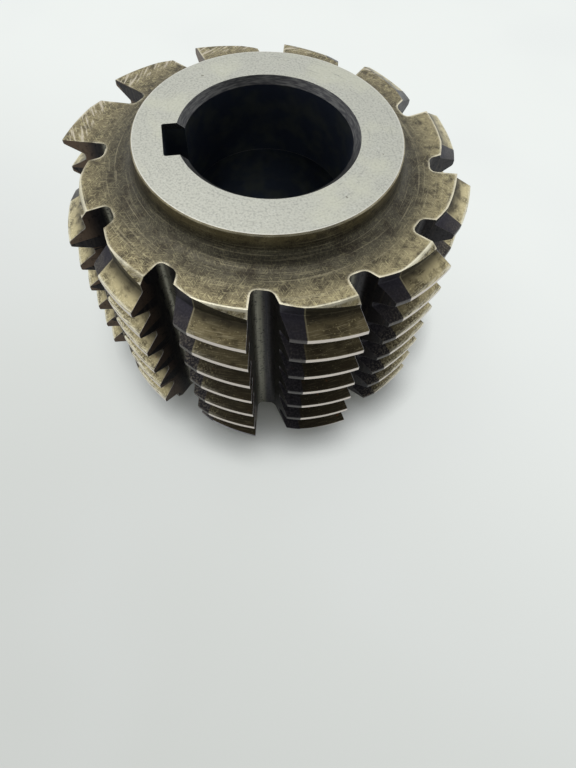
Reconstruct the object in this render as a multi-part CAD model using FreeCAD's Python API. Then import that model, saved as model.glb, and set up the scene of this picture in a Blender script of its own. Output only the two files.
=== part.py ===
"""Gear hob in one piece: a relieved single-start rack thread, cut into twelve rows of teeth by gashes.

The axis of the bore is Z, the lower hub face lies on Z = 0 and the keyway points towards -X.
Lengths are in millimetres and angles in degrees. Seen from above, the cutting faces look
counter-clockwise, and the thread is right-handed.
"""

import FreeCAD
import Part

import math
import os

# The thread, a rack profile wound round the body
MODULE = 1.5
FLANK_ANGLE = 30.0
TOOTH_DEPTH = 2.5
OUTER_DIAMETER = 56.0
THREAD_END_ANGLE = 177.5  # where the middle of the crest reaches the upper end face
LOWER_OVERRUN = 0.7  # how far beyond the lower end face the middle of a crest may lie

# The turned body
BODY_LENGTH = 31.4
HUB_DIAMETER = 35.0
HUB_HEIGHT = 4.3
HUB_FILLET = 2.2
HUB_FILLET_CUTS = 3  # the fillet is turned as this many short cones
LIP_BEVEL = 0.8

# The bore and its keyway
BORE_DIAMETER = 22.0
BORE_CHAMFER = 0.9
BORE_LAND_LENGTH = 12.2  # from a hub face to the recess between the two lands
BORE_RECESS_DEPTH = 1.0
KEYWAY_WIDTH = 6.0
KEYWAY_DEPTH = 2.5  # beyond the wall of the bore
KEYWAY_ROUNDING = 0.5

# The gashes, which leave the rows of teeth between them
GASH_COUNT = 12
GASH_DEPTH = 6.15
GASH_FLOOR_WIDTH = 2.56
GASH_BACK_ANGLE = 28.0
GASH_FRONT_ROUNDING = 0.8
GASH_BACK_ROUNDING = 1.2
FIRST_EDGE_ANGLE = 16.8

# The relief behind a cutting edge: a long ground land, then a short steep heel
GROUND_SPAN = 15.3
GROUND_DROP = 0.9
HEEL_SPAN = 3.9
HEEL_DROP = 0.5

# Sizes that follow from the ones above
outer_radius = OUTER_DIAMETER / 2
root_radius = outer_radius - TOOTH_DEPTH
knee_radius = outer_radius - GROUND_DROP
heel_radius = knee_radius - HEEL_DROP
gash_radius = outer_radius - GASH_DEPTH
core_radius = (gash_radius + heel_radius - TOOTH_DEPTH) / 2
clear_radius = outer_radius + 2.0
pitch_diameter = OUTER_DIAMETER - TOOTH_DEPTH
lead_angle = math.degrees(math.asin(MODULE / pitch_diameter))
crest_pitch = math.pi * MODULE
lead = crest_pitch / math.cos(math.radians(lead_angle))
flank_width = TOOTH_DEPTH * math.tan(math.radians(FLANK_ANGLE))
crest_width = crest_pitch / 2 - flank_width
foot_width = crest_width + 2 * flank_width
total_length = BODY_LENGTH + 2 * HUB_HEIGHT
middle = total_length / 2
body_bottom = HUB_HEIGHT
body_top = HUB_HEIGHT + BODY_LENGTH
gash_step = 360.0 / GASH_COUNT
gash_slope = math.tan(math.radians(GASH_BACK_ANGLE))

ORIGIN = FreeCAD.Vector(0, 0, 0)
UP = FreeCAD.Vector(0, 0, 1)


def polar(radius, angle):
    """The point of the XY plane at a radius and an angle."""
    turn = math.radians(angle)
    return FreeCAD.Vector(radius * math.cos(turn), radius * math.sin(turn), 0)


def flat_face(corners):
    """A flat face inside a closed outline of (point, rounding) corners."""
    starts = []
    ends = []
    arcs = []
    for index, (point, rounding) in enumerate(corners):
        back = (corners[index - 1][0] - point).normalize()
        ahead = (corners[(index + 1) % len(corners)][0] - point).normalize()
        half = back.getAngle(ahead) / 2
        reach = rounding / math.tan(half)
        starts.append(point + back * reach)
        ends.append(point + ahead * reach)
        inward = (back + ahead).normalize() if rounding else ORIGIN
        arcs.append(point + inward * (rounding / math.sin(half) - rounding))
    edges = []
    for index, (point, rounding) in enumerate(corners):
        if rounding:
            edges.append(Part.Arc(starts[index], arcs[index], ends[index]).toShape())
        edges.append(Part.makeLine(ends[index], starts[(index + 1) % len(corners)]))
    return Part.Face(Part.Wire(edges))


def turned(outline, centre=ORIGIN, start=0.0, span=360.0):
    """Turns an outline of (radius, height, rounding) corners about an upright axis through the centre."""
    direction = polar(1, start)
    corners = [(centre + direction * radius + UP * height, rounding) for radius, height, rounding in outline]
    return flat_face(corners).revolve(centre, UP, span)


def blank():
    """The turned body before its teeth: two hubs, the toothed length and the stepped bore."""
    bore = BORE_DIAMETER / 2
    hub = HUB_DIAMETER / 2
    lower_half = [
        (bore + BORE_RECESS_DEPTH, BORE_LAND_LENGTH, 0),
        (bore, BORE_LAND_LENGTH, 0),
        (bore, BORE_CHAMFER, 0),
        (bore + BORE_CHAMFER, 0, 0),
        (hub, 0, 0),
    ]
    for cut in range(HUB_FILLET_CUTS + 1):
        turn = math.radians(90 * cut / HUB_FILLET_CUTS)
        out = HUB_FILLET * (1 - math.cos(turn))
        below = HUB_FILLET * (1 - math.sin(turn))
        lower_half.append((hub + out, body_bottom - below, 0))
    lower_half.append((clear_radius, body_bottom, 0))
    upper_half = [(radius, total_length - height, rounding) for radius, height, rounding in lower_half]
    return turned(lower_half + upper_half[::-1])


def crest_heights(angle):
    """Heights of the crests at a cutting edge, from the upper end face down."""
    behind = (THREAD_END_ANGLE - angle) % 360
    height = body_top - lead * behind / 360
    heights = []
    while height > body_bottom - LOWER_OVERRUN:
        heights.append(height)
        height -= lead
    return heights


def relieved_rack(heights, first_angle, first_radius, last_angle, last_radius):
    """Rack teeth turned about an axis beside the bore, so that they fall back from their cutting face.

    The crest passes through both radii, at angles behind the cutting face, which lies on the X axis.
    The ends of the arc stand in the gashes before and behind the row.
    """
    half_span = math.radians(last_angle - first_angle) / 2
    offset = (first_radius - last_radius) / (2 * math.sin(half_span))
    centre = polar(offset, 90 - (first_angle + last_angle) / 2)
    crest = (polar(first_radius, -first_angle) - centre).Length
    foot = crest - TOOTH_DEPTH
    inside = gash_radius - offset
    outline = [(inside, -lead, 0), (foot, -lead, 0)]
    for height in sorted(heights):
        level = middle + (height - middle) * crest_pitch / lead
        outline.append((foot, level - foot_width / 2, 0))
        outline.append((crest, level - crest_width / 2, 0))
        outline.append((crest, level + crest_width / 2, 0))
        outline.append((foot, level + foot_width / 2, 0))
    outline += [(foot, total_length + lead, 0), (inside, total_length + lead, 0)]
    gash_middle = (GASH_FLOOR_WIDTH + (core_radius - gash_radius) * gash_slope) / 2
    in_gash = math.degrees(math.atan(gash_middle / core_radius))
    front = polar(core_radius, in_gash) - centre
    back = polar(core_radius, in_gash - gash_step) - centre
    start = math.degrees(math.atan2(back.y, back.x))
    return turned(outline, centre, start, math.degrees(front.getAngle(back)))


def placed(shape, angle):
    """Leans an upright row by the lead angle about its own radius, then turns it to its angle."""
    row = shape.copy()
    row.rotate(UP * middle, FreeCAD.Vector(1, 0, 0), lead_angle)
    row.rotate(ORIGIN, UP, angle)
    return row


def lip_cutter(height, inward):
    """A bevelled ring that takes the corner off the root of the thread at an end face."""
    overlap = LIP_BEVEL / 4
    outline = [
        (root_radius - LIP_BEVEL - overlap, height - inward * overlap, 0),
        (root_radius + overlap, height + inward * (LIP_BEVEL + overlap), 0),
        (root_radius + overlap, height - inward * overlap, 0),
    ]
    return turned(outline)


def tooth_row(angle):
    """One row of teeth behind the cutting edge at an angle."""
    heights = crest_heights(angle)
    ground = relieved_rack(heights, 0, outer_radius, GROUND_SPAN, knee_radius)
    heel = relieved_rack(heights, GROUND_SPAN, knee_radius, GROUND_SPAN + HEEL_SPAN, heel_radius)
    row = placed(ground.common(heel), angle)
    if body_top - heights[0] - foot_width / 2 > LIP_BEVEL:
        row = row.cut(lip_cutter(body_top, -1))
    if heights[-1] - foot_width / 2 - body_bottom > LIP_BEVEL:
        row = row.cut(lip_cutter(body_bottom, 1))
    return row


def gash(angle):
    """The space before a cutting edge: a radial face, a rounded floor and a sloping back."""
    opening = GASH_FLOOR_WIDTH + (clear_radius - gash_radius) * gash_slope
    corners = [
        (FreeCAD.Vector(clear_radius, 0, -middle), 0),
        (FreeCAD.Vector(gash_radius, 0, -middle), GASH_FRONT_ROUNDING),
        (FreeCAD.Vector(gash_radius, GASH_FLOOR_WIDTH, -middle), GASH_BACK_ROUNDING),
        (FreeCAD.Vector(clear_radius, opening, -middle), 0),
    ]
    return placed(flat_face(corners).extrude(UP * 2 * total_length), angle)


def keyway():
    """The keyway through the whole length of the bore, towards -X."""
    side = KEYWAY_WIDTH / 2
    reach = BORE_DIAMETER / 2 + KEYWAY_DEPTH
    corners = [
        (FreeCAD.Vector(0, side, -1), 0),
        (FreeCAD.Vector(-reach, side, -1), KEYWAY_ROUNDING),
        (FreeCAD.Vector(-reach, -side, -1), KEYWAY_ROUNDING),
        (FreeCAD.Vector(0, -side, -1), 0),
    ]
    return flat_face(corners).extrude(UP * (total_length + 2))


edge_angles = [FIRST_EDGE_ANGLE + gash_step * number for number in range(GASH_COUNT)]
core = Part.makeCylinder(core_radius, total_length + 2, FreeCAD.Vector(0, 0, -1))
toothed = core.multiFuse([tooth_row(angle) for angle in edge_angles])
hob = toothed.common(blank())
hob = hob.cut([gash(angle) for angle in edge_angles] + [keyway()])
hob = hob.removeSplitter()

os.makedirs("parts", exist_ok=True)
hob.Solids[0].exportStep("parts/gear_hob.step")
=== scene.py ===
"""A used gear hob on a pale table: its detailed mesh, its steel finishes, the light and the camera."""

import math

import bmesh
import bpy
from mathutils import Matrix, Vector


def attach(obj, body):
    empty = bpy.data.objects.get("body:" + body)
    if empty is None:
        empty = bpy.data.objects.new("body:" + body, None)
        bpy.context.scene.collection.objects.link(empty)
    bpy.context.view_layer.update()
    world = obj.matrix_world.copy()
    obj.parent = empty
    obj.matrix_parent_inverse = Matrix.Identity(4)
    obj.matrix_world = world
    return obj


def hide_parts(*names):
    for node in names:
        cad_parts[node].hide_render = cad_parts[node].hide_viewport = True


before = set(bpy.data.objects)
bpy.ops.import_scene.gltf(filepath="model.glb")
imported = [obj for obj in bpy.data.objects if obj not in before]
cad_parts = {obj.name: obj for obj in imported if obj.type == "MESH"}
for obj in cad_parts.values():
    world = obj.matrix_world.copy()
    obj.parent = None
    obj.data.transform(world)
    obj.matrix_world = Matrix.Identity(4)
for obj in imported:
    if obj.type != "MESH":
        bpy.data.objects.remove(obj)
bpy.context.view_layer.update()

MM = 0.001

# The thread, in millimetres and degrees
MODULE = 1.5
FLANK_ANGLE = 30.0
TOOTH_DEPTH = 2.5
OUTER_RADIUS = 28.0
CREST_ROUNDING = 0.3
ROOT_ROUNDING = 0.35
THREAD_END_ANGLE = 177.5  # where the middle of the crest reaches the upper end face
LOWER_OVERRUN = 0.7  # how far beyond the lower end face the middle of a crest may lie

# The turned body and its bore
BODY_LENGTH = 31.4
HUB_RADIUS = 17.5
HUB_HEIGHT = 4.3
HUB_FILLET = 2.2
HUB_EDGE = 0.15
LIP_BEVEL = 0.8  # where the thread's root meets an end face
LIP_START = 169.8
LIP_SPAN = 150.0
LOWER_LIP_START = 139.8
LOWER_LIP_SPAN = 90.0
BORE_RADIUS = 11.0
BORE_CHAMFER = 0.9
BORE_LAND = 12.2  # from a hub face to the recess between the two lands
BORE_RECESS = 1.0
KEYWAY_WIDTH = 6.0
KEYWAY_REACH = 13.5
KEYWAY_ROUNDING = 0.3

# The gashes and the relief behind the cutting edges
GASH_COUNT = 12
GASH_DEPTH = 6.15
GASH_FLOOR = 2.56
GASH_BACK_ANGLE = 28.0
GASH_FRONT_ROUNDING = 0.8
GASH_BACK_ROUNDING = 1.2
FIRST_EDGE = 16.8
GROUND_SPAN = 15.3
GROUND_DROP = 0.9
HEEL_SPAN = 3.9
HEEL_DROP = 0.5

# How the mesh is made, again in millimetres and degrees
ROUND_SEGMENTS = 288
OVERSHOOT = 2.0  # of a cutter past what it cuts
CORE_OVERLAP = 0.3  # of the rows of teeth with the core inside them
CORE_HOLE = 2.0
ROW_STARTS = (-3.5, 0)
ROW_ENDS = (22.0, 25.5)
LAND_STEPS = 10
HEEL_STEPS = 3
GASH_STEPS = 20
EDGE_SOFTNESS = 0.08  # radius that the shading gives to sharp edges
SHARP_ANGLE = 28.0
MERGE_REACH = 0.015  # points nearer than this become one
STRAIGHT_ANGLE = 0.5  # edges that bend less than this are straight

# Sizes that follow
pitch_radius = OUTER_RADIUS - TOOTH_DEPTH / 2
lead_angle = math.asin(MODULE / (2 * pitch_radius))
lead = math.pi * MODULE / math.cos(lead_angle)
flank_width = TOOTH_DEPTH * math.tan(math.radians(FLANK_ANGLE))
crest_width = math.pi * MODULE / 2 - flank_width
foot_width = crest_width + 2 * flank_width
root_radius = OUTER_RADIUS - TOOTH_DEPTH
gash_radius = OUTER_RADIUS - GASH_DEPTH
core_radius = gash_radius + CORE_OVERLAP
clear_radius = OUTER_RADIUS + OVERSHOOT
gash_slope = math.tan(math.radians(GASH_BACK_ANGLE))
gash_step = 360 / GASH_COUNT
total_length = BODY_LENGTH + 2 * HUB_HEIGHT
middle = total_length / 2
body_bottom = HUB_HEIGHT
body_top = HUB_HEIGHT + BODY_LENGTH
twist = math.degrees(math.tan(lead_angle) / pitch_radius)  # of the gashes, degrees per millimetre of height


def rounded(corners, steps=4):
    """The points of an outline of (x, y, rounding) corners, with each rounding as an arc."""
    points = []
    for index, (x, y, rounding) in enumerate(corners):
        corner = Vector((x, y))
        if not rounding:
            points.append(corner)
            continue
        before = (Vector(corners[index - 1][:2]) - corner).normalized()
        after = (Vector(corners[(index + 1) % len(corners)][:2]) - corner).normalized()
        half = before.angle(after) / 2
        centre = corner + (before + after).normalized() * (rounding / math.sin(half))
        first = corner + before * (rounding / math.tan(half)) - centre
        sweep = first.angle_signed(corner + after * (rounding / math.tan(half)) - centre)
        for step in range(steps + 1):
            points.append(centre + Matrix.Rotation(-sweep * step / steps, 2) @ first)
    return points


def polar(radius, degrees, height):
    """A point in metres from millimetres and degrees."""
    turn = math.radians(degrees)
    return Vector((radius * math.cos(turn), radius * math.sin(turn), height)) * MM


def slot_of(finish):
    """The number of a finish's material slot, the same on every piece of the hob."""
    return list(finishes).index(finish)


def lofted(name, rings, finish, round_trip=False):
    """A closed mesh through rings of points, either capped or joined end to end, all in one finish."""
    size = len(rings[0])
    points = [point for ring in rings for point in ring]
    faces = []
    for index in range(len(rings) - (not round_trip)):
        here = index * size
        there = (index + 1) % len(rings) * size
        for step in range(size):
            following = (step + 1) % size
            faces.append((here + step, here + following, there + following, there + step))
    if not round_trip:
        faces.append(tuple(range(size)))
        faces.append(tuple(range(len(points) - size, len(points))))
    mesh = bpy.data.meshes.new(name)
    mesh.from_pydata(points, [], faces)
    shape = bmesh.new()
    shape.from_mesh(mesh)
    bmesh.ops.recalc_face_normals(shape, faces=shape.faces)
    shape.to_mesh(mesh)
    shape.free()
    for material in finishes.values():
        mesh.materials.append(material)
    for polygon in mesh.polygons:
        polygon.material_index = slot_of(finish)
    made = bpy.data.objects.new(name, mesh)
    bpy.context.scene.collection.objects.link(made)
    return made


def turned(name, outline, start=0.0, span=360.0):
    """A turned solid, or a sector of one, from (radius, height, rounding) corners."""
    section = rounded(outline)
    whole = span == 360.0
    count = round(ROUND_SEGMENTS * span / 360)
    rings = [
        [polar(point.x, start + span * step / count, point.y) for point in section]
        for step in range(count if whole else count + 1)
    ]
    return lofted(name, rings, "turned", round_trip=whole)


def combined(target, operation, *others):
    """Applies a boolean of each other shape to the target and removes that shape."""
    for other in others:
        modifier = target.modifiers.new("combine", "BOOLEAN")
        modifier.operation = operation
        modifier.solver = "MANIFOLD"
        modifier.object = other
        evaluated = target.evaluated_get(bpy.context.evaluated_depsgraph_get())
        mesh = bpy.data.meshes.new_from_object(evaluated)
        target.modifiers.clear()
        old = target.data
        target.data = mesh
        bpy.data.meshes.remove(old)
        bpy.data.meshes.remove(other.data)
    return target


def cleaned(target):
    """Merges points that all but touch, and drops those on a straight edge between two faces."""
    shape = bmesh.new()
    shape.from_mesh(target.data)
    bmesh.ops.remove_doubles(shape, verts=shape.verts, dist=MERGE_REACH * MM)
    bmesh.ops.dissolve_degenerate(shape, edges=shape.edges, dist=MERGE_REACH * MM)
    between_two = [vertex for vertex in shape.verts if len(vertex.link_edges) == 2]
    straight = [vertex for vertex in between_two if vertex.calc_edge_angle() < math.radians(STRAIGHT_ANGLE)]
    bmesh.ops.dissolve_verts(shape, verts=straight)
    shape.to_mesh(target.data)
    shape.free()
    return target


def crest_radius(behind):
    """Radius of the crests at an angle behind the cutting edge."""
    ground = min(max(behind, 0), GROUND_SPAN) / GROUND_SPAN
    heel = max(behind - GROUND_SPAN, 0) / HEEL_SPAN
    return OUTER_RADIUS - GROUND_DROP * ground - HEEL_DROP * heel


def edge_angle(first, height):
    """Angle of a cutting edge at a height: the gashes lean, square to the thread."""
    return first + twist * (middle - height)


def crest_heights(angle):
    """Heights of the crests at a cutting edge, from the upper end face down."""
    height = body_top - lead * ((THREAD_END_ANGLE - angle) % 360) / 360
    heights = []
    while height > body_bottom - LOWER_OVERRUN:
        heights.append(height)
        height -= lead
    return heights


def tooth_row(angle):
    """One row of relieved teeth on a piece of the body, a little longer than the body at both ends."""
    outline = [(-TOOTH_DEPTH, -lead, 0)]
    for height in sorted(crest_heights(angle)):
        outline.append((-TOOTH_DEPTH, height - foot_width / 2, ROOT_ROUNDING))
        outline.append((0, height - crest_width / 2, CREST_ROUNDING))
        outline.append((0, height + crest_width / 2, CREST_ROUNDING))
        outline.append((-TOOTH_DEPTH, height + foot_width / 2, ROOT_ROUNDING))
    outline.append((-TOOTH_DEPTH, total_length + lead, 0))
    section = rounded(outline, 3)
    land = [GROUND_SPAN * step / LAND_STEPS for step in range(1, LAND_STEPS + 1)]
    heel = [GROUND_SPAN + HEEL_SPAN * step / HEEL_STEPS for step in range(1, HEEL_STEPS + 1)]
    knots = [*ROW_STARTS, *land, *heel, *ROW_ENDS]
    rings = []
    for behind in knots:
        crest = crest_radius(behind)
        ring = []
        for point in section:
            height = point.y - lead * behind / 360
            ring.append(polar(crest + point.x, edge_angle(angle, height) - behind, height))
        for height in (total_length + lead, -lead):
            low = height - lead * behind / 360
            ring.append(polar(core_radius - OVERSHOOT, edge_angle(angle, low) - behind, low))
        rings.append(ring)
    return lofted("row", rings, "relieved")


def gash(angle):
    """The cutter of one gash, leaning with its cutting face."""
    corners = [
        (clear_radius, 0, 0),
        (gash_radius, 0, GASH_FRONT_ROUNDING),
        (gash_radius, GASH_FLOOR, GASH_BACK_ROUNDING),
        (clear_radius, GASH_FLOOR + (clear_radius - gash_radius) * gash_slope, 0),
    ]
    section = rounded(corners, 6)
    rings = []
    for step in range(GASH_STEPS + 1):
        height = total_length * (step - 1) / (GASH_STEPS - 2)
        turn = Matrix.Rotation(math.radians(edge_angle(angle, height)), 3, "Z")
        rings.append([turn @ Vector((point.x, point.y, height)) * MM for point in section])
    return lofted("gash", rings, "milled")


def lip_cutter(height, inward, start, span):
    """A sector of a bevelled ring that takes the corner off the thread's root at an end face."""
    overlap = LIP_BEVEL / 4
    outline = [
        (root_radius - LIP_BEVEL - overlap, height - inward * overlap, 0),
        (root_radius + overlap, height + inward * (LIP_BEVEL + overlap), 0),
        (root_radius + overlap, height - inward * overlap, 0),
    ]
    return turned("lip", outline, start=start, span=span)


def keyway():
    """The cutter of the keyway."""
    side = KEYWAY_WIDTH / 2
    corners = [
        (0, side, 0),
        (-KEYWAY_REACH, side, KEYWAY_ROUNDING),
        (-KEYWAY_REACH, -side, KEYWAY_ROUNDING),
        (0, -side, 0),
    ]
    section = rounded(corners)
    ends = (-OVERSHOOT, total_length + OVERSHOOT)
    rings = [[Vector((point.x, point.y, height)) * MM for point in section] for height in ends]
    return lofted("keyway", rings, "bore")


def blank():
    """The turned body: hubs, toothed length and stepped bore."""
    lower_half = [
        (BORE_RADIUS + BORE_RECESS, BORE_LAND, 0),
        (BORE_RADIUS, BORE_LAND, 0),
        (BORE_RADIUS, BORE_CHAMFER, 0),
        (BORE_RADIUS + BORE_CHAMFER, 0, 0),
        (HUB_RADIUS - HUB_EDGE, 0, 0),
        (HUB_RADIUS, HUB_EDGE, 0),
        (HUB_RADIUS, body_bottom, HUB_FILLET),
        (clear_radius, body_bottom, 0),
    ]
    upper_half = [(radius, total_length - height, rounding) for radius, height, rounding in lower_half]
    made = turned("blank", lower_half + upper_half[::-1])
    for polygon in made.data.polygons:
        radius = polygon.center.xy.length / MM
        level = abs(polygon.normal.z) > 0.99
        near_an_end = abs(polygon.center.z / MM - middle) > middle - HUB_EDGE
        if level and near_an_end:
            polygon.material_index = slot_of("ground")
        elif radius < BORE_RADIUS + 2 * BORE_RECESS:
            polygon.material_index = slot_of("bore")
    return made


def rgb(red, green, blue):
    """A shader colour from screen values of 0 to 255."""
    levels = [level / 255 for level in (red, green, blue)]
    return [level / 12.92 if level < 0.04 else ((level + 0.055) / 1.055) ** 2.4 for level in levels] + [1]


def feed(entry, value):
    """Links a field to an input socket, or sets the socket to a plain value."""
    if isinstance(value, Field):
        entry.id_data.links.new(value.socket, entry)
    else:
        entry.default_value = value


class Field:
    """A value that varies over a surface, with arithmetic that adds Math nodes."""

    def __init__(self, socket):
        self.socket = socket

    def math(self, operation, *others):
        """The result of a Math node on this field and any others."""
        node = self.socket.id_data.nodes.new("ShaderNodeMath")
        node.operation = operation
        for entry, value in zip(node.inputs, (self, *others)):
            feed(entry, value)
        return Field(node.outputs["Value"])

    def __add__(self, other):
        return self.math("ADD", other)

    def __sub__(self, other):
        return self.math("SUBTRACT", other)

    def __mul__(self, other):
        return self.math("MULTIPLY", other)

    def __truediv__(self, other):
        return self.math("DIVIDE", other)

    def clamped(self, low, high):
        """The value held between two limits."""
        return self.math("MAXIMUM", low).math("MINIMUM", high)

    def rising(self, low, high):
        """0 up to low and 1 from high on, or the other way round where low is the larger."""
        node = self.socket.id_data.nodes.new("ShaderNodeMapRange")
        node.interpolation_type = "SMOOTHSTEP"
        feed(node.inputs["Value"], self)
        feed(node.inputs["From Min"], low)
        feed(node.inputs["From Max"], high)
        return Field(node.outputs["Result"])


class Finish:
    """A procedural steel finish and the fields it is painted with, in millimetres and degrees."""

    def __init__(self, name):
        self.material = bpy.data.materials.new(name)
        self.material.use_nodes = True
        self.nodes = self.material.node_tree.nodes
        self.shader = self.nodes["Principled BSDF"]
        parts = self.nodes.new("ShaderNodeSeparateXYZ")
        feed(parts.inputs["Vector"], Field(self.nodes.new("ShaderNodeTexCoord").outputs["Object"]))
        self.x, self.y, self.z = [Field(parts.outputs[axis]) / MM for axis in "XYZ"]
        self.radius = (self.x * self.x + self.y * self.y).math("SQRT")
        self.turn = self.y.math("ARCTAN2", self.x).math("DEGREES")
        edge = self.z * -twist + (FIRST_EDGE + twist * middle)
        self.behind = (edge - self.turn).math("FLOORED_MODULO", gash_step)
        self.colour = rgb(128, 128, 128)

    def noise(self, scale=1.0, detail=2.0, along=None):
        """Noise of so many lumps per millimetre, or stretched along the three fields given."""
        node = self.nodes.new("ShaderNodeTexNoise")
        place = self.nodes.new("ShaderNodeCombineXYZ")
        for entry, field in zip(place.inputs, along or (self.x, self.y, self.z)):
            feed(entry, field)
        feed(node.inputs["Vector"], Field(place.outputs["Vector"]))
        feed(node.inputs["Scale"], scale)
        feed(node.inputs["Detail"], detail)
        return Field(node.outputs["Fac"])

    def hatching(self):
        """Short fine scratches that cross in three directions."""
        directions = []
        for degrees in (20, 75, 140):
            turn = math.radians(degrees)
            across = self.x * math.cos(turn) + self.y * math.sin(turn)
            along = self.y * math.cos(turn) - self.x * math.sin(turn)
            directions.append(self.noise(1, 3, (across * 7, along * 1.1, self.z * 4)))
        first, second, third = directions
        return first.math("MAXIMUM", second).math("MAXIMUM", third)

    def openness(self, reach, inside=False):
        """1 on open surfaces, less in corners; from inside the metal, less along its outer edges."""
        node = self.nodes.new("ShaderNodeAmbientOcclusion")
        node.samples = 8
        node.inside = inside
        node.only_local = True
        feed(node.inputs["Distance"], reach * MM)
        return Field(node.outputs["AO"])

    def tint(self, colour, amount):
        """Lays a colour over what is there, by an amount of 0 to 1."""
        node = self.nodes.new("ShaderNodeMix")
        node.data_type = "RGBA"
        amount_in, under, over = node.inputs[0], node.inputs[6], node.inputs[7]
        feed(amount_in, amount)
        feed(under, self.colour)
        feed(over, colour)
        self.colour = Field(node.outputs[2])

    def done(self, metallic, roughness, height, depth):
        """Wires up the shader, with a relief of a depth in millimetres under softened edges."""
        feed(self.shader.inputs["Base Color"], self.colour)
        feed(self.shader.inputs["Metallic"], metallic)
        feed(self.shader.inputs["Roughness"], roughness)
        softened = self.nodes.new("ShaderNodeBevel")
        softened.samples = 4
        feed(softened.inputs["Radius"], EDGE_SOFTNESS * MM)
        bump = self.nodes.new("ShaderNodeBump")
        feed(bump.inputs["Distance"], depth * MM)
        feed(bump.inputs["Height"], height)
        feed(bump.inputs["Normal"], Field(softened.outputs["Normal"]))
        feed(self.shader.inputs["Normal"], Field(bump.outputs["Normal"]))
        return self.material


def ground_steel():
    """The hub faces: clean steel, ground matt with fine crossing marks."""
    finish = Finish("ground_steel")
    grain = finish.noise(3.5, 3)
    swirl = finish.noise(1, 2, (finish.radius * 5, finish.turn * 0.06, finish.z))
    crossing = finish.noise(1, 2, ((finish.x + finish.y) * 4, (finish.x - finish.y) * 0.7, finish.z))
    finish.colour = rgb(194, 194, 182)
    finish.tint(rgb(150, 150, 142), grain.rising(0.42, 0.75) * 0.7)
    finish.tint(rgb(204, 204, 184), finish.noise(0.16, 2).rising(0.5, 0.7) * 0.5)
    finish.tint(rgb(146, 146, 140), swirl.rising(0.6, 0.7) * 0.4)
    finish.tint(rgb(214, 214, 206), crossing.rising(0.6, 0.72) * 0.5)
    finish.tint(rgb(90, 84, 70), finish.noise(0.9, 1).rising(0.76, 0.8) * 0.6)
    finish.tint(rgb(232, 230, 220), finish.radius.rising(HUB_RADIUS - 0.35, HUB_RADIUS - 0.1) * 0.8)
    height = grain + swirl + crossing
    return finish.done(1.0, grain * 0.2 + 0.32, height, 0.008)


def bore_steel():
    """The bore and keyway, dark, with a turned chamfer at each end."""
    finish = Finish("bore_steel")
    rings = finish.noise(1, 3, (finish.radius * 6, finish.turn * 0.15, finish.z * 6))
    finish.colour = rgb(74, 82, 98)
    finish.tint(rgb(110, 114, 104), finish.noise(0.3, 3).rising(0.4, 0.7) * 0.6)
    chamfer_start = middle - BORE_CHAMFER
    chamfer = (finish.z - middle).math("ABSOLUTE").rising(chamfer_start - 0.04, chamfer_start)
    finish.tint(rgb(64, 64, 66), chamfer)
    finish.tint(rgb(100, 100, 98), chamfer * rings.rising(0.35, 0.7))
    finish.tint(rgb(190, 190, 188), finish.openness(0.2, inside=True).rising(0.75, 0.5) * 0.7)
    return finish.done(0.85, rings * 0.2 + 0.3, rings, 0.01)


def turned_steel():
    """The hub sides and end faces under an oily brown film, with swirling scratches and worn edges; painted
    light gives a golden highlight under each hub face and a lighter right front with brighter edges, and
    painted shade darkens the corners.
    """
    finish = Finish("turned_steel")
    turn = finish.behind.math("RADIANS")
    across = finish.radius * turn.math("COSINE") * 0.9 - finish.radius * turn.math("SINE") * 0.42
    along = finish.radius * turn.math("COSINE") * 0.42 + finish.radius * turn.math("SINE") * 0.9
    rings = finish.noise(1, 3, (finish.radius * 4, finish.turn * 0.03, finish.z * 4))
    hatching = finish.hatching()
    film = finish.noise(0.5, 3)
    rubs = finish.noise(1, 2, (across * 3.2, along * 0.3, finish.z))
    patches = finish.noise(0.35, 2)
    outward = finish.radius.rising(HUB_RADIUS + 2.0, root_radius)
    beyond = finish.radius.rising(root_radius - LIP_BEVEL, root_radius)
    lit_right_front = (finish.x * 0.8 - finish.y * 0.6) / finish.radius
    hub_side = finish.radius.rising(HUB_RADIUS + 0.6, HUB_RADIUS + 0.1)
    from_middle = (finish.z - middle).math("ABSOLUTE")
    finish.colour = rgb(76, 72, 60)
    finish.tint(rgb(142, 130, 98), outward * 0.75)
    # painted light: the end faces are lighter toward the right front, where the light falls
    finish.tint(rgb(186, 174, 134), lit_right_front.rising(0.3, 1.0) * outward * 0.6)
    # painted highlight: a golden band on the hub sides just under each hub face
    finish.tint(rgb(138, 126, 92), hub_side * from_middle.rising(middle - 2.6, middle - 0.6) * 0.7)
    finish.tint(rgb(52, 46, 38), film.rising(0.46, 0.68) * 0.75)
    finish.tint(rgb(150, 142, 116), rings.rising(0.55, 0.7) * 0.5)
    finish.tint(rgb(206, 196, 150), hatching.rising(0.54, 0.72) * (outward * 0.5 + 0.15))
    finish.tint(rgb(50, 44, 34), hatching.rising(0.52, 0.42) * 0.6)
    finish.tint(rgb(214, 204, 182), rubs.rising(0.52, 0.62) * beyond * 0.75)
    # painted shade: dark in the corners, deepest at the foot of each hub
    finish.tint(rgb(26, 23, 20), finish.openness(4.0).rising(0.85, 0.5) * 0.85)
    # bright edges and lip rim: wear in random patches, plus a painted highlight that grows toward the lit
    # right front
    bright_edge_share = patches.rising(0.35, 0.6) * 0.6 + lit_right_front.rising(-0.4, 0.7) * 0.4
    finish.tint(rgb(238, 230, 202), finish.openness(0.5, inside=True).rising(0.9, 0.6) * bright_edge_share)
    lip = (finish.radius + LIP_BEVEL - root_radius).math("ABSOLUTE").rising(0.3, 0.1)
    bevelled = (finish.turn - LIP_START).math("FLOORED_MODULO", 360).rising(LIP_SPAN, LIP_SPAN - 1)
    finish.tint(rgb(238, 232, 206), lip * bevelled * bright_edge_share)
    height = rings + hatching + rubs * beyond
    return finish.done(0.8, film * 0.3 + 0.22, height, 0.03)


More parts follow.
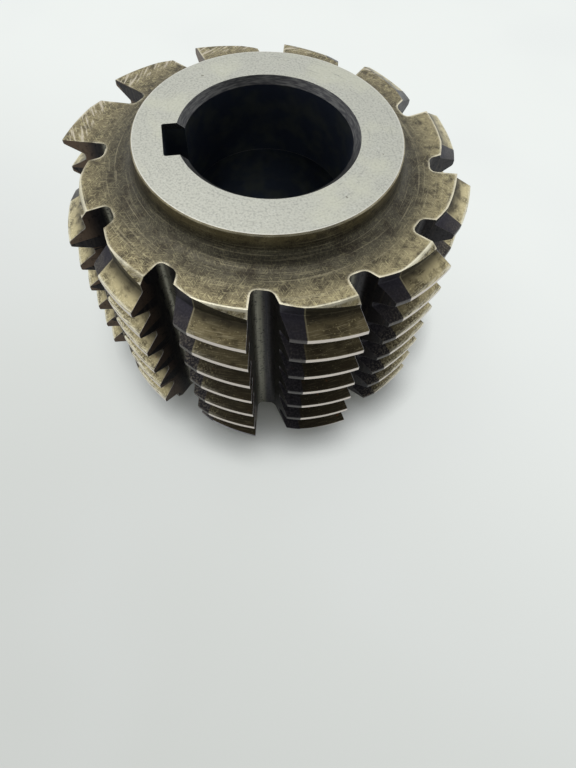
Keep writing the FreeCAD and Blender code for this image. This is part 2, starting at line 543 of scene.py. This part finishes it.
def relieved_steel():
    """The teeth: bright crests, oil-stained ground flanks and dark heels; painted light makes the side
    columns lighter, with bright bands and glints under their crests, and painted shade darkens the lower
    rows and the front columns.
    """
    finish = Finish("relieved_steel")
    crest = finish.behind.clamped(0, GROUND_SPAN) * (-GROUND_DROP / GROUND_SPAN) + OUTER_RADIUS
    past_knee = (finish.behind - GROUND_SPAN).math("MAXIMUM", 0)
    depth = crest - past_knee * (HEEL_DROP / HEEL_SPAN) - finish.radius
    along = finish.z + finish.turn * (-lead / 360)
    lines = finish.noise(1, 3, (along * 9, finish.turn * 0.05, finish.radius * 9))
    blotches = finish.noise(1, 3, (finish.x * 0.7, finish.y * 0.7, finish.z * 1.4))
    glints = finish.noise(4.0, 2)
    heel = finish.behind.rising(GROUND_SPAN - 0.2, GROUND_SPAN + 0.1)
    # low runs from 0 on the top rows to 1 from 13 mm down; where it darkens the lower rows or dims their
    # lines, glints, knee lines and heels, that is painted shade, while the rust keeps to these rows
    low = finish.z.rising(body_top - 1, body_top - 13)
    lit_left_and_right = (finish.x / finish.radius).math("ABSOLUTE").rising(0.3, 0.85)
    finish.colour = rgb(132, 120, 88)
    # painted light: the columns that face left and right are lighter, as lit from the sides
    finish.tint(rgb(216, 202, 156), lit_left_and_right * 0.85)
    # painted shade: the lower rows darker, less so on the side columns
    finish.tint(rgb(42, 37, 28), low * (lit_left_and_right * -0.6 + 0.9))
    finish.tint(rgb(60, 51, 36), blotches.rising(0.42, 0.66) * 0.7)
    finish.tint(rgb(186, 174, 138), lines.rising(0.5, 0.7) * (low * -0.45 + 0.6))
    # darker toward the heel on every row; the extra darkening on the lower rows and the front columns is
    # painted shade
    shade_low_and_front = low * (lit_left_and_right * -0.3 + 0.5) + 0.15
    finish.tint(rgb(34, 30, 23), finish.behind.rising(2.0, GROUND_SPAN) * shade_low_and_front)
    finish.tint(rgb(214, 200, 150), glints.rising(0.62, 0.72) * (low * -0.5 + 0.6))
    finish.tint(rgb(232, 220, 176), glints.rising(0.48, 0.62) * depth.rising(1.6, 0.3) * lit_left_and_right * 0.6)
    finish.tint(rgb(30, 27, 22), depth.rising(0.9, 2.4) * 0.85)
    rust = finish.noise(1.1, 2).rising(0.68, 0.74) * low.rising(0.7, 1.0)
    finish.tint(rgb(104, 66, 40), rust * 0.7)
    knee = (finish.behind - (GROUND_SPAN - 0.3)).math("ABSOLUTE").rising(0.3, 0.1)
    finish.tint(rgb(190, 180, 148), knee * (low * -0.5 + 0.35))
    finish.tint(rgb(54, 52, 60), heel * (low * -0.3 + 0.95))
    finish.tint(rgb(30, 29, 31), heel * (low * 0.6 + 0.3) * glints.rising(0.6, 0.4))
    # painted highlight: bright bands along the crests of the side columns
    side_crest_highlight = depth.rising(0.45, 0.1) * lit_left_and_right * lines.rising(0.35, 0.6)
    finish.tint(rgb(240, 234, 210), side_crest_highlight * (heel * -1 + 1))
    finish.tint(rgb(222, 212, 204), depth.rising(0.02, 0.005) * (heel * -0.95 + 1))
    rim = finish.openness(0.12, inside=True).rising(0.75, 0.5)
    finish.tint(rgb(196, 196, 200), rim * (heel * -0.55 + 0.7))
    return finish.done(0.85, blotches * 0.25 + 0.25, lines + blotches * 0.5 + glints * 0.4, 0.02)


def milled_steel():
    """The gash walls: nearly black, with a painted reflection across the floor, pale by the cutting face
    and dark purple beyond, and rims worn bright.
    """
    finish = Finish("milled_steel")
    ahead = (finish.behind * -1 + gash_step).math("RADIANS")
    from_face = finish.radius * ahead.math("SINE")
    lines = finish.noise(1, 2, (finish.radius * 3, finish.turn * 3, finish.z * 0.2))
    pores = finish.noise(2.5, 3)
    floor_zone = finish.radius.rising(gash_radius + 1.2, gash_radius + 0.4)
    finish.colour = rgb(42, 40, 43)
    # painted reflection on the gash floor: a pale band by the cutting face, then a dark purple band
    finish.tint(rgb(134, 132, 118), floor_zone * from_face.rising(1.8, 0.9) * 0.9)
    finish.tint(rgb(34, 33, 40), floor_zone * from_face.rising(0.9, 1.6) * from_face.rising(2.4, 1.7) * 0.8)
    cutting_face = from_face.rising(0.3, 0.1) * finish.radius.rising(root_radius - 2, root_radius)
    finish.tint(rgb(104, 86, 72), cutting_face * 0.85)
    finish.tint(rgb(84, 76, 66), lines.rising(0.5, 0.72) * 0.45)
    finish.tint(rgb(14, 13, 13), pores.rising(0.54, 0.66) * (cutting_face * -0.4 + 0.7))
    bright_edge_share = finish.noise(0.35, 2).rising(0.35, 0.6)
    finish.tint(rgb(190, 186, 174), finish.openness(0.2, inside=True).rising(0.75, 0.5) * bright_edge_share * 0.8)
    return finish.done(0.75, pores * 0.3 + 0.25, lines + pores, 0.015)


finishes = {
    "ground": ground_steel(),
    "bore": bore_steel(),
    "turned": turned_steel(),
    "relieved": relieved_steel(),
    "milled": milled_steel(),
}
edge_angles = [FIRST_EDGE + gash_step * number for number in range(GASH_COUNT)]
core_bottom = -OVERSHOOT
core_top = total_length + OVERSHOOT
core = [
    (CORE_HOLE, core_bottom, 0),
    (core_radius, core_bottom, 0),
    (core_radius, core_top, 0),
    (CORE_HOLE, core_top, 0),
]
hob = turned("hob", core)
hob = combined(hob, "UNION", *[tooth_row(angle) for angle in edge_angles])
hob = combined(hob, "INTERSECT", blank())
hob = combined(hob, "DIFFERENCE", *[gash(angle) for angle in edge_angles])
hob = combined(hob, "DIFFERENCE", keyway())
hob = combined(hob, "DIFFERENCE", lip_cutter(body_top, -1, LIP_START, LIP_SPAN))
hob = combined(hob, "DIFFERENCE", lip_cutter(body_bottom, 1, LOWER_LIP_START, LOWER_LIP_SPAN))
hob = cleaned(hob)
hob.data.shade_smooth()
hob.data.set_sharp_from_angle(angle=math.radians(SHARP_ANGLE))

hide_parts("gear_hob")
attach(hob, "root")

# The table, partly its own plain colour to the camera so that only the contact shadow stays dark
CONTACT_REACH = 6.0
CONTACT_POWER = 3.0
GLOW_SHARE = 0.8
GLOW_MARGIN = 5.0  # the glow is whole this far outside the teeth and none under the bore
FLOOR_REACH = 3.0  # metres from the hob to each side of the table

floor_mesh = bpy.data.meshes.new("table")
sides = ((-1, -1), (1, -1), (1, 1), (-1, 1))
floor_mesh.from_pydata([(x * FLOOR_REACH, y * FLOOR_REACH, 0) for x, y in sides], [], [(0, 1, 2, 3)])
floor = bpy.data.objects.new("table", floor_mesh)
bpy.context.scene.collection.objects.link(floor)
paper = Finish("paper")
paper.colour = rgb(242, 246, 243)
# painted shade: the table darkens toward the front and the left, as the light falls off
paper.tint(rgb(206, 209, 205), (paper.y * 1.2 + paper.x).rising(80, -150))
paper.tint(rgb(228, 231, 232), paper.noise(0.02, 2).rising(0.4, 0.7) * 0.2)
floor.data.materials.append(paper.done(0.0, 0.6, paper.noise(1.5, 2), 0.01))
contact = paper.nodes.new("ShaderNodeAmbientOcclusion")
contact.samples = 16
feed(contact.inputs["Distance"], CONTACT_REACH * MM)
# the glow seen by the camera and in reflections is dimmed by ambient occlusion near the hob: a painted
# contact shadow
glow = paper.nodes.new("ShaderNodeEmission")
feed(glow.inputs["Color"], paper.colour)
feed(glow.inputs["Strength"], Field(contact.outputs["AO"]).math("POWER", CONTACT_POWER))
ray = paper.nodes.new("ShaderNodeLightPath")
seen = Field(ray.outputs["Is Camera Ray"]) + Field(ray.outputs["Is Glossy Ray"])
both = paper.nodes.new("ShaderNodeMixShader")
feed(both.inputs[0], seen * paper.radius.rising(gash_radius, OUTER_RADIUS + GLOW_MARGIN) * GLOW_SHARE)
feed(both.inputs[1], Field(paper.shader.outputs["BSDF"]))
feed(both.inputs[2], Field(glow.outputs["Emission"]))
feed(paper.nodes["Material Output"].inputs["Surface"], Field(both.outputs["Shader"]))

# The camera, fitted to the photograph
IMAGE_HEIGHT = 768
FOCAL_PIXELS = 542.575
PRINCIPAL_ROW = 326.354
CAMERA_PLACE = Vector((0.0, -57.668, 46.216))  # from the middle of the upper hub face
CAMERA_PITCH = 58.377
CAMERA_YAW = 4.375
CAMERA_ROLL = 4.543
KEYWAY_TURN = 9.3  # the photograph shows the keyway this far round from the left

camera_data = bpy.data.cameras.new("camera")
camera = bpy.data.objects.new("camera", camera_data)
bpy.context.scene.collection.objects.link(camera)
bpy.context.scene.camera = camera
camera_data.sensor_width = 36.0
camera_data.lens = FOCAL_PIXELS / IMAGE_HEIGHT * camera_data.sensor_width
camera_data.shift_y = (PRINCIPAL_ROW - IMAGE_HEIGHT / 2) / IMAGE_HEIGHT
camera_data.clip_start = 0.005
yaw = math.radians(CAMERA_YAW + KEYWAY_TURN)
pitch = math.radians(CAMERA_PITCH)
ahead = Vector((math.sin(yaw) * math.cos(pitch), math.cos(yaw) * math.cos(pitch), -math.sin(pitch)))
level = Vector((math.cos(yaw), -math.sin(yaw), 0))
roll = math.radians(CAMERA_ROLL)
above = level.cross(ahead)
right = level * math.cos(roll) + above * math.sin(roll)
up = above * math.cos(roll) - level * math.sin(roll)
axes = Matrix((right, up, -ahead)).transposed().to_4x4()
place = Matrix.Rotation(-math.radians(KEYWAY_TURN), 3, "Z") @ CAMERA_PLACE
camera.matrix_world = Matrix.Translation((place + Vector((0, 0, total_length))) * MM) @ axes

# The room: bright all round but for the photographer, and a large soft lamp over the left
ROOM_BRIGHT = 0.95
ROOM_DIM = 0.2
PHOTOGRAPHER_WAY = Vector((0.1, -0.75, 0.65))
LAMP_PLACE = Vector((-0.2, 0.15, 1.0))
LAMP_SIZE = 0.8
LAMP_POWER = 3.0

world = bpy.data.worlds.new("world")
bpy.context.scene.world = world
world.use_nodes = True
room = world.node_tree.nodes
toward = room.new("ShaderNodeVectorMath")
toward.operation = "DOT_PRODUCT"
feed(toward.inputs[0], Field(room.new("ShaderNodeTexCoord").outputs["Generated"]))
feed(toward.inputs[1], PHOTOGRAPHER_WAY.normalized())
dimmed = Field(toward.outputs["Value"]).rising(0.35, 0.9)
feed(room["Background"].inputs["Strength"], dimmed * (ROOM_DIM - ROOM_BRIGHT) + ROOM_BRIGHT)
feed(room["Background"].inputs["Color"], rgb(250, 252, 255))
lamp_data = bpy.data.lights.new("lamp", "AREA")
lamp_data.size = LAMP_SIZE
lamp_data.energy = LAMP_POWER
lamp = bpy.data.objects.new("lamp", lamp_data)
lamp.location = LAMP_PLACE
lamp.rotation_euler = LAMP_PLACE.to_track_quat("Z", "Y").to_euler()
bpy.context.scene.collection.objects.link(lamp)
bpy.context.scene.view_settings.view_transform = "Standard"
